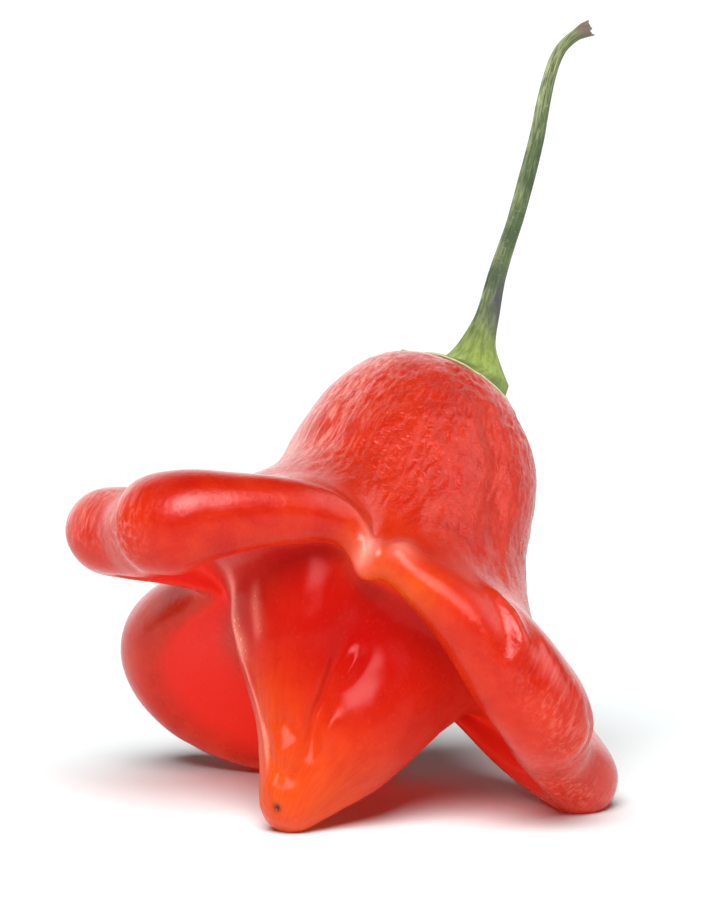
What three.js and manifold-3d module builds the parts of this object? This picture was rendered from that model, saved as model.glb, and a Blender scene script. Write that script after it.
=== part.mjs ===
// A ripe chilli pepper of the winged kind, as picked, with its green stalk.
// The fruit is a bell with three puffy wings and a lobed cone that ends in the blossom scar.
// It lies tipped over, resting on the tip of its cone and on two of its wings.
// Units are millimetres and degrees, +Z is up and the origin is the middle of the footprint.
import * as THREE from "three";
import { mergeVertices } from "three/addons/utils/BufferGeometryUtils.js";
import Module from "manifold-3d";

// Driving dimensions
const fruitLength = 58.8; // from the tip to the seat of the calyx
const neckReach = 15.1; // radius of the bell just above the wings
const stalkEndHeight = 107.7; // from the tip, along the fruit's own axis
const calyxReach = 6.4;
const calyxGap = 0.3; // clearance between the calyx and the fruit
const calyxEdge = 0.6; // thickness of the calyx at its rim

// Posture: the fruit's axis is the third of these directions, with its right side and its front
const rollRight = 22.3; // the bell tips over to the right
const leanBack = 25; // and away from the front, so that the cone shows
const viewRise = 8.5; // the lean is measured from a sight line that looks down by this much
const floorShift = new THREE.Vector3(-7.25, -24.05, 0.7); // brings the footprint's middle to the origin

// Each wing has a droop, the height of its root, the arch of its underside as a share of the lip's
// radius, and meridians from its front edge round to its back.
// A meridian gives azimuth, reach and height of the middle of the lip, lip radius and sag of the web.
// Azimuth is 0 at the front of the fruit and grows to its right; the rows run round to the left.
const sectors = [
  { name: "front notch", droop: 40, root: 27, arch: 0.75, meridians: [[-9, 15.8, 30.2, 1.5, 0]] },
  {
    name: "left wing",
    droop: 18,
    root: 28,
    arch: 0.75,
    meridians: [
      [-20, 18, 31, 2.8, 0.2],
      [-36, 21, 29.4, 4.4, 1.6],
      [-52, 26, 25.2, 6.2, 2.4],
      [-67, 29.6, 23.2, 7.1, 2.2],
      [-79, 25.4, 25, 5.6, 1.4],
      [-92, 33.6, 26.1, 6.9, 0.9],
      [-107, 24.5, 29.6, 4, 0.4],
    ],
  },
  { name: "left notch", droop: 35, root: 27, arch: 0.3, meridians: [[-118, 16.8, 29.6, 1.6, 0]] },
  {
    name: "back wing",
    droop: 35,
    root: 23.5,
    arch: 0.15,
    meridians: [
      [-129, 31.5, 26.6, 5.4, 0.4],
      [-147, 33.5, 23, 6.6, 0.8],
      [-168, 29.4, 22.3, 6.6, 0.8],
      [-189, 25.2, 24.6, 6.2, 0.8],
      [-209, 23, 27, 4.8, 0.4],
    ],
  },
  { name: "right notch", droop: 35, root: 26.5, arch: 0.3, meridians: [[-224, 16.4, 29, 1.6, 0]] },
  {
    name: "right wing",
    droop: 40,
    root: 25.5,
    arch: 0.75,
    meridians: [
      [-240, 22, 26.6, 4.2, 1],
      [-260, 34, 21.5, 6.1, 3],
      [-275, 23.5, 21, 4.4, 3],
      [-291, 26.8, 19.8, 6.2, 3.4],
      [-310, 22.8, 22, 6.3, 2.8],
      [-329, 19.4, 25.8, 4.7, 2.2],
      [-355, 17.2, 27.8, 2.5, 0.2],
    ],
  },
];

// Rings of the bell, from the seat of the calyx down to the neck: reach and height,
// and how much is added to the two on the left, where the shoulder is fuller
const bell = [
  [0, fruitLength, 0, 0],
  [3.2, fruitLength + 0.2, 0, 0.4],
  [5.8, fruitLength + 1.4, 0.3, 1],
  [9, 57.9, 1.2, 1.3],
  [11.9, 54.2, 1.2, 0.7],
  [13.8, 49.6, 0.9, 0.2],
  [14.9, 45, 0.6, 0],
  [neckReach, 40.5, 0.4, 0],
];
const shoulder = { azimuth: -95, width: 75 };

// Rings of the cone: reach, height, depth of its grooves, extra belly on its right side
// and depth of the pocket under the right wing's front edge
const cone = [
  [14.6, 21.6, 0.16, 0, 0.24],
  [12.2, 17.6, 0.24, 0.02, 0.1],
  [9.6, 13.4, 0.26, 0.12, 0],
  [7.2, 9.4, 0.22, 0.24, 0],
  [5.1, 5.6, 0.12, 0.16, 0],
  [3.8, 2.8, 0.04, 0.04, 0],
  [2.8, 0.9, 0, 0, 0],
  [1.3, 0.1, 0, 0, 0],
  [0, 0.1, 0, 0, 0],
];
const grooves = [
  { azimuth: -4, width: 15 },
  { azimuth: -125, width: 14 },
  { azimuth: 138, width: 14 },
];
const belly = { azimuth: 85, width: 45 };
const flank = { azimuth: -95, width: 35, share: -0.7 };
const lipAngles = [105, 55, 0, -55, -105]; // where the control points stand on the lip's circle
const rootReach = 16.5;
const frontHollow = { azimuth: 14, width: 30, depth: 6 };
const pocket = { azimuth: 20, width: 26 };
const bellShift = { side: -0.6, from: 30, to: 48 }; // the bell leans a little to the left of the cone

// Stalk: side, front and height of its centre line on the fruit's axes, and its radius
const stalk = [
  [0.2, 0, 61.9, 5.4],
  [0.5, 0, 63.7, 3],
  [0.2, 0, 66.4, 1.75],
  [0.15, 0, 70.4, 1.3],
  [-0.6, 0.2, 74.2, 1.12],
  [-0.9, 0.5, 78.8, 0.95],
  [-1.1, 0.9, 83.1, 0.92],
  [-2.1, 1.9, 90.9, 0.92],
  [-2.6, 2.8, 94.1, 0.86],
  [-3.5, 3.7, 98, 0.8],
  [-4.1, 4.7, 102.2, 0.7],
  [-4, 5.6, 104.9, 0.68],
  [-2.6, 6.3, 107.1, 0.7],
  [-1.7, 6.8, stalkEndHeight, 0.8],
];
const calyxTeeth = { count: 5, reach: 0.45, turn: 62 };
const calyxRings = [ // share of the reach and lift over the underside, from the rim's top inwards
  [1, calyxEdge],
  [1.02, calyxEdge / 2],
  [1, 0],
  [0.7, 0],
  [0.35, 0],
  [0, 0],
];
const stalkRibs = { count: 5, depth: 0.07, turn: 62 };

// Steps of the mesh
const stepsPerMeridian = 3;
const stepsPerRing = 2;
const stalkSides = 20;
const stepsPerStalkPoint = 2;
const stepsPerTopRing = 8;

const radians = THREE.MathUtils.degToRad;
const sight = radians(viewRise);
const right = new THREE.Vector3(1, 0, 0);
const up = new THREE.Vector3(0, Math.sin(sight), Math.cos(sight));
const toward = new THREE.Vector3(0, -Math.cos(sight), Math.sin(sight));

// A direction given by its parts along right, up and toward
function direction(r, u, t) {
  const sum = right.clone().multiplyScalar(r);
  sum.addScaledVector(up, u);
  return sum.addScaledVector(toward, t);
}

const roll = radians(rollRight);
const lean = radians(leanBack);
const sideAxis = direction(Math.cos(roll), -Math.sin(roll), 0);
const frontAxis = direction(
  Math.sin(lean) * Math.sin(roll),
  Math.sin(lean) * Math.cos(roll),
  Math.cos(lean),
);
const fruitAxis = direction(
  Math.cos(lean) * Math.sin(roll),
  Math.cos(lean) * Math.cos(roll),
  -Math.sin(lean),
);

// A point of the part from its side, front and height on the fruit's axes
function place(side, front, height) {
  const point = floorShift.clone();
  point.addScaledVector(sideAxis, side);
  point.addScaledVector(frontAxis, front);
  return point.addScaledVector(fruitAxis, height);
}

// A smooth hump of height 1 round an azimuth
function hump(azimuth, centre, width) {
  const away = THREE.MathUtils.euclideanModulo(azimuth - centre + 180, 360) - 180;
  return Math.exp(-((away / width) ** 2));
}

// Control points of the bell's outline at an azimuth
function bellLine(azimuth) {
  const share = hump(azimuth, shoulder.azimuth, shoulder.width);
  return bell.map(([reach, height, wider, higher]) => [reach + share * wider, height + share * higher]);
}

// Control points of one meridian, from the calyx seat over the lip and under the wing to the tip
function meridian([azimuth, reach, height, radius, sag], { droop, root, arch }) {
  const outward = new THREE.Vector2(Math.cos(radians(droop)), -Math.sin(radians(droop)));
  const upward = new THREE.Vector2(-outward.y, outward.x);
  const lip = new THREE.Vector2(reach, height);
  const hollow = frontHollow.depth * hump(azimuth, frontHollow.azimuth, frontHollow.width);
  const foot = new THREE.Vector2(rootReach - hollow, root);
  const points = bellLine(azimuth).map(([r, h]) => new THREE.Vector2(r, h));
  const lipTop = lip.clone().addScaledVector(upward, radius);
  const web = new THREE.Vector2(...bell.at(-1)).add(lipTop).multiplyScalar(0.5);
  points.push(web.addScaledVector(upward, -sag));
  for (const angle of lipAngles) {
    const onLip = lip.clone().addScaledVector(outward, radius * Math.cos(radians(angle)));
    points.push(onLip.addScaledVector(upward, radius * Math.sin(radians(angle))));
  }
  const under = lip.clone().addScaledVector(upward, -radius).add(foot).multiplyScalar(0.5);
  points.push(under.addScaledVector(upward, arch * radius));
  points.push(foot);
  for (const [ringReach, ringHeight, groove, extra, pocketDepth] of cone) {
    let factor = 1;
    for (const g of grooves) {
      factor -= groove * hump(azimuth, g.azimuth, g.width);
    }
    factor += extra * hump(azimuth, belly.azimuth, belly.width);
    factor += extra * flank.share * hump(azimuth, flank.azimuth, flank.width);
    factor -= pocketDepth * hump(azimuth, pocket.azimuth, pocket.width);
    points.push(new THREE.Vector2(ringReach * factor, ringHeight));
  }
  return points.map((p) => [azimuth, p.x, p.y]);
}

// Weights of the four control points that a cubic B-spline blends at t between 0 and 1
function blendWeights(t) {
  return [
    (1 - t) ** 3 / 6,
    (3 * t ** 3 - 6 * t ** 2 + 4) / 6,
    (-3 * t ** 3 + 3 * t ** 2 + 3 * t + 1) / 6,
    t ** 3 / 6,
  ];
}

// Weighted sum of four rows of numbers
function mix(rows, weights) {
  return rows[0].map((_, k) => rows.reduce((sum, row, i) => sum + weights[i] * row[k], 0));
}

// The smooth line that a row of control points draws, with the points past its ends given
function blendLine(before, points, after, steps) {
  const all = [before, ...points, after];
  const line = [];
  for (let i = 0; i < points.length - 1; i += 1) {
    for (let step = 0; step < steps; step += 1) {
      line.push(mix(all.slice(i, i + 4), blendWeights(step / steps)));
    }
  }
  line.push(mix([all.at(-3), all.at(-2), all.at(-1), all.at(-1)], [1 / 6, 4 / 6, 1 / 6, 0]));
  return line;
}

// A point mirrored over the fruit's axis
function mirrored([azimuth, reach, height]) {
  return [azimuth, -reach, height];
}

// Closed mesh over rings of points whose first and last rings shrink to one point each
function closedMesh(rings) {
  const sides = rings[0].length;
  const vertices = [rings[0][0], ...rings.slice(1, -1).flat(), rings.at(-1)[0]];
  const last = vertices.length - 1;
  const index = [];
  for (let side = 0; side < sides; side += 1) {
    const next = (side + 1) % sides;
    index.push(0, 1 + next, 1 + side);
    for (let ring = 1; ring < rings.length - 2; ring += 1) {
      const upper = 1 + (ring - 1) * sides;
      const lower = upper + sides;
      index.push(upper + side, upper + next, lower + side);
      index.push(upper + next, lower + next, lower + side);
    }
    const bottom = 1 + (rings.length - 3) * sides;
    index.push(bottom + side, bottom + next, last);
  }
  const geometry = new THREE.BufferGeometry();
  const position = vertices.flatMap((v) => [v.x, v.y, v.z]);
  geometry.setAttribute("position", new THREE.Float32BufferAttribute(position, 3));
  geometry.setIndex(index);
  return geometry;
}

// The fruit's own surface, as rings of points from the calyx seat to the tip
function fruitRings() {
  const net = sectors.flatMap((s) => s.meridians.map((m) => meridian(m, s)));
  const columns = [];
  for (let i = 0; i < net.length; i += 1) {
    const four = [i - 1, i, i + 1, i + 2].map((j) => {
      const lap = Math.floor(j / net.length);
      return net[j - lap * net.length].map(([a, r, h]) => [a - 360 * lap, r, h]);
    });
    for (let step = 0; step < stepsPerMeridian; step += 1) {
      const weights = blendWeights(step / stepsPerMeridian);
      const blended = four[0].map((_, k) => mix(four.map((row) => row[k]), weights));
      columns.push(blendLine(mirrored(blended[1]), blended, mirrored(blended.at(-2)), stepsPerRing));
    }
  }
  return columns[0].map((_, ring) => columns.map((column) => fruitPoint(...column[ring])));
}

function fruitPoint(azimuth, reach, height) {
  const shift = bellShift.side * THREE.MathUtils.smoothstep(height, bellShift.from, bellShift.to);
  const side = reach * Math.sin(radians(azimuth)) + shift;
  return place(side, reach * Math.cos(radians(azimuth)), height);
}

// Height of the top of the fruit at an azimuth and a distance from its axis
function topHeight(azimuth, reach) {
  const outline = bellLine(azimuth);
  const [secondReach, secondHeight] = outline[1];
  const topLine = blendLine([-secondReach, secondHeight], outline, outline.at(-1), stepsPerTopRing);
  const after = Math.max(1, topLine.findIndex(([r]) => r > reach));
  const [r0, h0] = topLine[after - 1];
  const [r1, h1] = topLine[after];
  return h0 + ((h1 - h0) * (reach - r0)) / (r1 - r0);
}

// The calyx lies on the top of the fruit with a fine gap; its rim has short blunt teeth
function calyxRim(azimuth) {
  const tooth = Math.cos(radians(calyxTeeth.count * (azimuth - calyxTeeth.turn)));
  return calyxReach + calyxTeeth.reach * tooth;
}

function stalkRings() {
  const azimuths = Array.from({ length: stalkSides }, (_, i) => (-360 * i) / stalkSides);
  const ring = (share, lift) =>
    azimuths.map((azimuth) => {
      const reach = share * calyxRim(azimuth);
      return fruitPoint(azimuth, reach, topHeight(azimuth, reach) + calyxGap + lift);
    });
  const rings = calyxRings.map(([share, lift]) => ring(share, lift));
  const first = stalk[0].map((value, k) => 2 * value - stalk[1][k]);
  const last = stalk.at(-1).map((value, k) => 2 * value - stalk.at(-2)[k]);
  const line = blendLine(first, stalk, last, stepsPerStalkPoint);
  const centres = line.map(([side, front, height]) => place(side, front, height));
  const sections = centres.map((centre, i) => {
    const ahead = centres[Math.min(i + 1, centres.length - 1)].clone();
    const tangent = ahead.sub(centres[Math.max(i - 1, 0)]).normalize();
    const front = frontAxis.clone().addScaledVector(tangent, -frontAxis.dot(tangent)).normalize();
    const side = front.clone().cross(tangent).negate();
    return azimuths.map((azimuth) => {
      const rib = 1 + stalkRibs.depth * Math.cos(radians(stalkRibs.count * (azimuth - stalkRibs.turn)));
      const radius = line[i][3] * rib;
      const point = centre.clone().addScaledVector(side, radius * Math.sin(radians(azimuth)));
      return point.addScaledVector(front, radius * Math.cos(radians(azimuth)));
    });
  });
  const end = azimuths.map(() => centres.at(-1));
  return [end, ...sections.reverse(), ...rings];
}

// The fruit is cut flat where it touches the floor
const wasm = await Module();
wasm.setup();

function solidOf(geometry) {
  const bare = new THREE.BufferGeometry();
  bare.setAttribute("position", geometry.getAttribute("position"));
  bare.setIndex(geometry.getIndex());
  const merged = mergeVertices(bare);
  const vertProperties = new Float32Array(merged.getAttribute("position").array);
  const triVerts = new Uint32Array(merged.getIndex().array);
  return new wasm.Manifold(new wasm.Mesh({ numProp: 3, vertProperties, triVerts }));
}

function geometryOf(solid) {
  const mesh = solid.getMesh();
  const geometry = new THREE.BufferGeometry();
  geometry.setAttribute("position", new THREE.BufferAttribute(new Float32Array(mesh.vertProperties), 3));
  geometry.setIndex(new THREE.BufferAttribute(new Uint32Array(mesh.triVerts), 1));
  return geometry;
}

const floorSize = 200;
const floorDepth = 20;
const floorBlock = new THREE.BoxGeometry(floorSize, floorSize, floorDepth);
floorBlock.translate(0, 0, -floorDepth / 2);

const fruitSolid = solidOf(closedMesh(fruitRings())).subtract(solidOf(floorBlock));
const fruitSkin = new THREE.MeshStandardMaterial({ color: 0xd92b14, roughness: 0.28, metalness: 0 });
const greenSkin = new THREE.MeshStandardMaterial({ color: 0x7d9a4a, roughness: 0.6, metalness: 0 });

const fruit = new THREE.Mesh(geometryOf(fruitSolid), fruitSkin);
fruit.name = "fruit";
const calyxAndStalk = new THREE.Mesh(closedMesh(stalkRings()), greenSkin);
calyxAndStalk.name = "calyx_and_stalk";

const chilliPepper = new THREE.Group();
chilliPepper.name = "chilli_pepper";
chilliPepper.add(fruit, calyxAndStalk);

export default chilliPepper;
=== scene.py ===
# %% [markdown]
# A winged chilli pepper, rebuilt from a photograph.
# The real thing is one fruit with one green stalk: a bell, three puffy wings, a lobed cone with the
# blossom scar at its tip, and a ribbed stalk that flares into the calyx. We make two surfaces, one for
# each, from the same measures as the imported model, and then give each a material.

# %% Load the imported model
import bpy
import numpy as np
from mathutils import Matrix, Vector


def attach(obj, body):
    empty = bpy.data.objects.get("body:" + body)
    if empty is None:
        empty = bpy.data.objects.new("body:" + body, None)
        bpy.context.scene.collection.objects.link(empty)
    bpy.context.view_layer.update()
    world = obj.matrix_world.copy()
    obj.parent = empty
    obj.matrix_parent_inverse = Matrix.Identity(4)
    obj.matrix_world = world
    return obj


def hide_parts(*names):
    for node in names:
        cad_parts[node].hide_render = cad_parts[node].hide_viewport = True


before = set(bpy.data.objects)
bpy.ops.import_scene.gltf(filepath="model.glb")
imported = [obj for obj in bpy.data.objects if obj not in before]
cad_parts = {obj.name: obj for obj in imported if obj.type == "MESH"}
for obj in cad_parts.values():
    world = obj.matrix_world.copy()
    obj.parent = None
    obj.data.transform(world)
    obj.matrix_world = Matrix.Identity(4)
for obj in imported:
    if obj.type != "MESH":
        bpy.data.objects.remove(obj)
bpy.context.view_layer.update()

BODY = "root"
MM = 0.001

# %% [markdown]
# The pepper lies tipped over, so its own axis isn't the world's up. We set up three directions for it:
# its right side, its front and its axis from tip to stalk. Every later shape is given on these three
# axes, in millimetres, which keeps the numbers as simple as if the fruit stood upright.

# %% Posture
ROLL_RIGHT = 22.3
LEAN_BACK = 25.0
VIEW_RISE = 8.5
FLOOR_SHIFT = np.array([-7.25, -24.05, 0.7])

rise, roll, lean = np.radians([VIEW_RISE, ROLL_RIGHT, LEAN_BACK])
RIGHT = np.array([1.0, 0.0, 0.0])
UP = np.array([0.0, np.sin(rise), np.cos(rise)])
TOWARD = np.array([0.0, -np.cos(rise), np.sin(rise)])
tipped = np.sin(roll) * RIGHT + np.cos(roll) * UP
SIDE_AXIS = np.cos(roll) * RIGHT - np.sin(roll) * UP
FRONT_AXIS = np.sin(lean) * tipped + np.cos(lean) * TOWARD
FRUIT_AXIS = np.cos(lean) * tipped - np.sin(lean) * TOWARD


def place(side, front, height):
    """World point, in mm, of a point given on the fruit's side, front and height axes."""
    own = side[..., None] * SIDE_AXIS + front[..., None] * FRONT_AXIS + height[..., None] * FRUIT_AXIS
    return own + FLOOR_SHIFT


print("fruit axis", FRUIT_AXIS.round(3))

# %% [markdown]
# A bell with wings can't be turned on a lathe, because its outline changes with the azimuth. But it can
# be drawn as a net: one outline for each of 22 azimuths, from the calyx seat over the rolled lip, under
# the wing and down the cone to the tip. Between the outlines the shape is blended smoothly.

# %% The meridians of the fruit
# azimuth, reach and height of the middle of the lip, lip radius and sag of the web
SECTORS = {
    "front notch": dict(droop=40, root=27, arch=0.75, meridians=[(-9, 15.8, 30.2, 1.5, 0)]),
    "left wing": dict(droop=18, root=28, arch=0.75, meridians=[
        (-20, 18, 31, 2.8, 0.2),
        (-36, 21, 29.4, 4.4, 1.6),
        (-52, 26, 25.2, 6.2, 2.4),
        (-67, 29.6, 23.2, 7.1, 2.2),
        (-79, 25.4, 25, 5.6, 1.4),
        (-92, 33.6, 26.1, 6.9, 0.9),
        (-107, 24.5, 29.6, 4, 0.4)]),
    "left notch": dict(droop=35, root=27, arch=0.3, meridians=[(-118, 16.8, 29.6, 1.6, 0)]),
    "back wing": dict(droop=35, root=23.5, arch=0.15, meridians=[
        (-129, 31.5, 26.6, 5.4, 0.4),
        (-147, 33.5, 23, 6.6, 0.8),
        (-168, 29.4, 22.3, 6.6, 0.8),
        (-189, 25.2, 24.6, 6.2, 0.8),
        (-209, 23, 27, 4.8, 0.4)]),
    "right notch": dict(droop=35, root=26.5, arch=0.3, meridians=[(-224, 16.4, 29, 1.6, 0)]),
    "right wing": dict(droop=40, root=25.5, arch=0.75, meridians=[
        (-240, 22, 26.6, 4.2, 1),
        (-260, 34, 21.5, 6.1, 3),
        (-275, 23.5, 21, 4.4, 3),
        (-291, 26.8, 19.8, 6.2, 3.4),
        (-310, 22.8, 22, 6.3, 2.8),
        (-329, 19.4, 25.8, 4.7, 2.2),
        (-355, 17.2, 27.8, 2.5, 0.2)]),
}
# reach and height of the bell's rings
BELL = np.array([(0, 58.8), (3.2, 59), (5.8, 60.2), (9, 57.9), (11.9, 54.2), (13.8, 49.6), (14.9, 45),
                 (15.1, 40.5)])
# how much fuller each of these rings is on the left
LEFT_SWELL = np.array([(0, 0), (0, 0.4), (0.3, 1), (1.2, 1.3), (1.2, 0.7), (0.9, 0.2), (0.6, 0), (0.4, 0)])
# the cone's rings: reach, height, depth of the grooves, belly on the right side and depth of the pocket
CONE = [(14.6, 21.6, 0.16, 0, 0.24), (12.2, 17.6, 0.24, 0.02, 0.1), (9.6, 13.4, 0.26, 0.12, 0),
        (7.2, 9.4, 0.22, 0.24, 0), (5.1, 5.6, 0.12, 0.16, 0), (3.8, 2.8, 0.04, 0.04, 0),
        (2.8, 0.9, 0, 0, 0), (1.3, 0.1, 0, 0, 0), (0, 0.1, 0, 0, 0)]
# azimuth and width of the grooves between the cone's lobes
GROOVES = ((-4, 15), (-125, 14), (138, 14))
LIP_ANGLES = np.radians([105, 55, 0, -55, -105])
ROOT_REACH = 16.5
FRONT_HOLLOW = dict(centre=14, width=30)
FRONT_POCKET = dict(centre=20, width=26)
HOLLOW_DEPTH = 6.0
BELL_SHIFT, SHIFT_FROM, SHIFT_TO = -0.6, 30.0, 48.0
print(len(SECTORS), "sectors,", len(BELL), "rings of the bell and", len(CONE), "of the cone")


# %% One outline from its measures
def hump(azimuth, centre, width):
    """A smooth hump of height 1 round an azimuth: a bell curve of the angle between the two."""
    away = (azimuth - centre + 180) % 360 - 180
    return np.exp(-(away / width) ** 2)


def meridian(azimuth, reach, height, radius, sag, droop, root, arch):
    """Reach and height of the control points of one outline: bell, web, lip, underside and cone."""
    d = np.radians(droop)
    outward = np.array([np.cos(d), -np.sin(d)])
    upward = np.array([np.sin(d), np.cos(d)])
    lip = np.array([reach, height])
    foot = np.array([ROOT_REACH - HOLLOW_DEPTH * hump(azimuth, **FRONT_HOLLOW), root])
    web = (BELL[-1] + lip + radius * upward) / 2 - sag * upward
    circle = lip + radius * (np.cos(LIP_ANGLES)[:, None] * outward + np.sin(LIP_ANGLES)[:, None] * upward)
    under = (lip - radius * upward + foot) / 2 + arch * radius * upward
    rings = []
    for ring_reach, ring_height, groove, extra, pocket in CONE:
        factor = 1 - sum(groove * hump(azimuth, centre, width) for centre, width in GROOVES)
        factor += extra * (hump(azimuth, 85, 45) - 0.7 * hump(azimuth, -95, 35))
        factor -= pocket * hump(azimuth, **FRONT_POCKET)
        rings.append((ring_reach * factor, ring_height))
    bell = BELL + LEFT_SWELL * hump(azimuth, -95, 75)
    return np.vstack([bell, web, circle, under, foot, rings])


azimuths, net = [], []
for sector in SECTORS.values():
    for measures in sector["meridians"]:
        azimuths.append(measures[0])
        net.append(meridian(*measures, sector["droop"], sector["root"], sector["arch"]))
azimuths, net = np.array(azimuths, float), np.array(net)
print("net of", net.shape[0], "meridians with", net.shape[1], "control points each")

# %% [markdown]
# A cubic B-spline blends four neighbouring control points at a time. It never overshoots, and its
# curvature is continuous, so a glossy skin shows no kinks. We blend twice: round the fruit, where the
# rows repeat after a full turn, and along each outline, where the ends are mirrored over the axis.


# %% Blend the net into a smooth surface
def blend_weights(t):
    """Weights of the four control points that a cubic B-spline blends, at t between 0 and 1."""
    return np.stack([(1 - t) ** 3, 3 * t**3 - 6 * t**2 + 4, -3 * t**3 + 3 * t**2 + 3 * t + 1, t**3]) / 6


def blend_round(rows, turns, per_turn=0.0):
    """Blend whole rows at the given turns (0 to the number of rows); per_turn is added on each lap."""
    start = np.floor(turns).astype(int)
    weights = blend_weights(turns - start)
    upright = (-1,) + (1,) * (rows.ndim - 1)
    total = 0
    for k in range(4):
        lap, row = np.divmod(start + k - 1, len(rows))
        total = total + weights[k].reshape(upright) * (rows[row] + per_turn * lap.reshape(upright))
    return total


def blend_along(points, at, first, last):
    """Blend along axis 1 at the given places, with one control point added past each end."""
    padded = np.concatenate([first[:, None], points, last[:, None]], axis=1)
    start = np.minimum(np.floor(at).astype(int), points.shape[1] - 2)
    weights = blend_weights(at - start)
    return sum(weights[k][:, None] * padded[:, start + k] for k in range(4))


print("weights halfway", blend_weights(np.array(0.5)).round(3))


# %% The smooth skin
def ramp(values, low, high):
    """0 below low, 1 above high and a smooth S between them."""
    t = np.clip((values - low) / (high - low), 0, 1)
    return t * t * (3 - 2 * t)


STEPS_ROUND = 21
STEPS_BELL, STEPS_REST = 12, 7
turns = np.arange(len(azimuths) * STEPS_ROUND) / STEPS_ROUND
bell_places = np.arange(len(BELL) * STEPS_BELL) / STEPS_BELL
rest_places = np.arange((net.shape[1] - 1 - len(BELL)) * STEPS_REST + 1) / STEPS_REST + len(BELL)
places = np.concatenate([bell_places, rest_places])
flip = np.array([-1.0, 1.0])
columns = blend_round(net, turns)
columns = blend_along(columns, places, columns[:, 1] * flip, columns[:, -2] * flip)
azimuth = np.radians(blend_round(azimuths, turns, -360.0))[:, None] * np.ones(len(places))
reach, height = columns[..., 0], columns[..., 1]
side = reach * np.sin(azimuth) + BELL_SHIFT * ramp(height, SHIFT_FROM, SHIFT_TO)
front = reach * np.cos(azimuth)
skin = place(side, front, height)
print("fruit grid", skin.shape)

# %% [markdown]
# Now the skin's small forms. A real fruit of this kind has creases between its bulbs, a knobbly nose, a
# soft furrow down the bell and fine crepe-like wrinkles. Sculpting them by hand would work, but it
# couldn't be repeated. We draw each as a stroke on the skin instead: a few spots, given by azimuth and
# by the place along the outline, a width and a height that is negative for a crease.


# %% Find spots on the skin
def on_skin(spots):
    """Points on the smooth skin at (azimuth, place) spots, read off the grid between its columns."""
    spots = np.atleast_2d(np.array(spots, float))
    turn = np.interp(-spots[:, 0], -azimuth[:, 0] * 180 / np.pi, np.arange(len(azimuth)))
    ring = np.interp(spots[:, 1], places, np.arange(len(places)))
    c, r = np.floor(turn).astype(int), np.minimum(np.floor(ring).astype(int), len(places) - 2)
    a, b = (turn - c)[:, None], (ring - r)[:, None]
    c, n = c % len(skin), (c + 1) % len(skin)
    upper = skin[c, r] * (1 - a) + skin[n, r] * a
    lower = skin[c, r + 1] * (1 - a) + skin[n, r + 1] * a
    return upper * (1 - b) + lower * b


def smooth_line(points, steps=10):
    """A curve through the points: each piece blends four neighbours so that it passes through them."""
    padded = np.vstack([2 * points[0] - points[1], points, 2 * points[-1] - points[-2]])
    t = (np.arange(steps) / steps)[:, None]
    pieces = [
        ((2 * b) + (c - a) * t + (2 * a - 5 * b + 4 * c - d) * t**2 + (3 * b - a - 3 * c + d) * t**3) / 2
        for a, b, c, d in zip(padded, padded[1:], padded[2:], padded[3:])]
    return np.vstack([*pieces, points[-1:]])


print("tip spot", on_skin([(-90, 24)]).round(2))

# %% [markdown]
# To raise or press the skin we have to know which way is out at every point. A mesh in Blender has
# normals too, but we need them before there is a mesh, so we work them out on the grid.


# %% Surface directions
def outward_normals(points):
    """Unit normals: the cross product of the steps to the next column and to the next ring."""
    across = np.roll(points, -1, 0) - np.roll(points, 1, 0)
    down = np.gradient(points, axis=1)
    normal = np.cross(down, across)
    length = np.linalg.norm(normal, axis=-1, keepdims=True)
    normal /= np.maximum(length, 1e-9)
    normal[:, 0] = normal[:, 1].mean(0)
    normal[:, -1] = normal[:, -2].mean(0)
    return normal


BELL_MIDDLE = 45        # height of a point inside the bell, in mm
BELL_RING = 40          # a ring of the grid round it
normals = outward_normals(skin)
outwardness = ((skin[:, BELL_RING] - FLOOR_SHIFT - BELL_MIDDLE * FRUIT_AXIS) * normals[:, BELL_RING]).sum()
normals *= np.sign(outwardness)
print("normals turned round to point out:", bool(outwardness < 0))


# %% [markdown]
# A crease or knob is strongest on its line and fades to the sides. We measure each grid point's distance
# from the line and turn it into a number from 1 down to 0, which scales the height of the stroke.


# %% One stroke
def stroke_mask(spots, width, fade=0.25):
    """1 on a line drawn over the skin, falling as a bell curve with the distance from it; the line
    thins out over the given share of its length at each end."""
    line = on_skin(spots)
    taper = np.ones(1)
    if len(line) > 1:
        line = smooth_line(line)
        share = np.linspace(0, 1, len(line))
        taper = ramp(np.minimum(share, 1 - share), 0, fade) if fade else np.ones(len(line))
    best = np.zeros(skin.shape[:-1])
    for spot, strength in zip(line, taper):
        away = ((skin - spot) ** 2).sum(-1)
        best = np.maximum(best, strength * np.exp(-away / width**2))
    return best


print("a dab 3 mm wide covers", int((stroke_mask([(-60, 5)], 1.5) > 0.5).sum()), "points of the grid")

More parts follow.
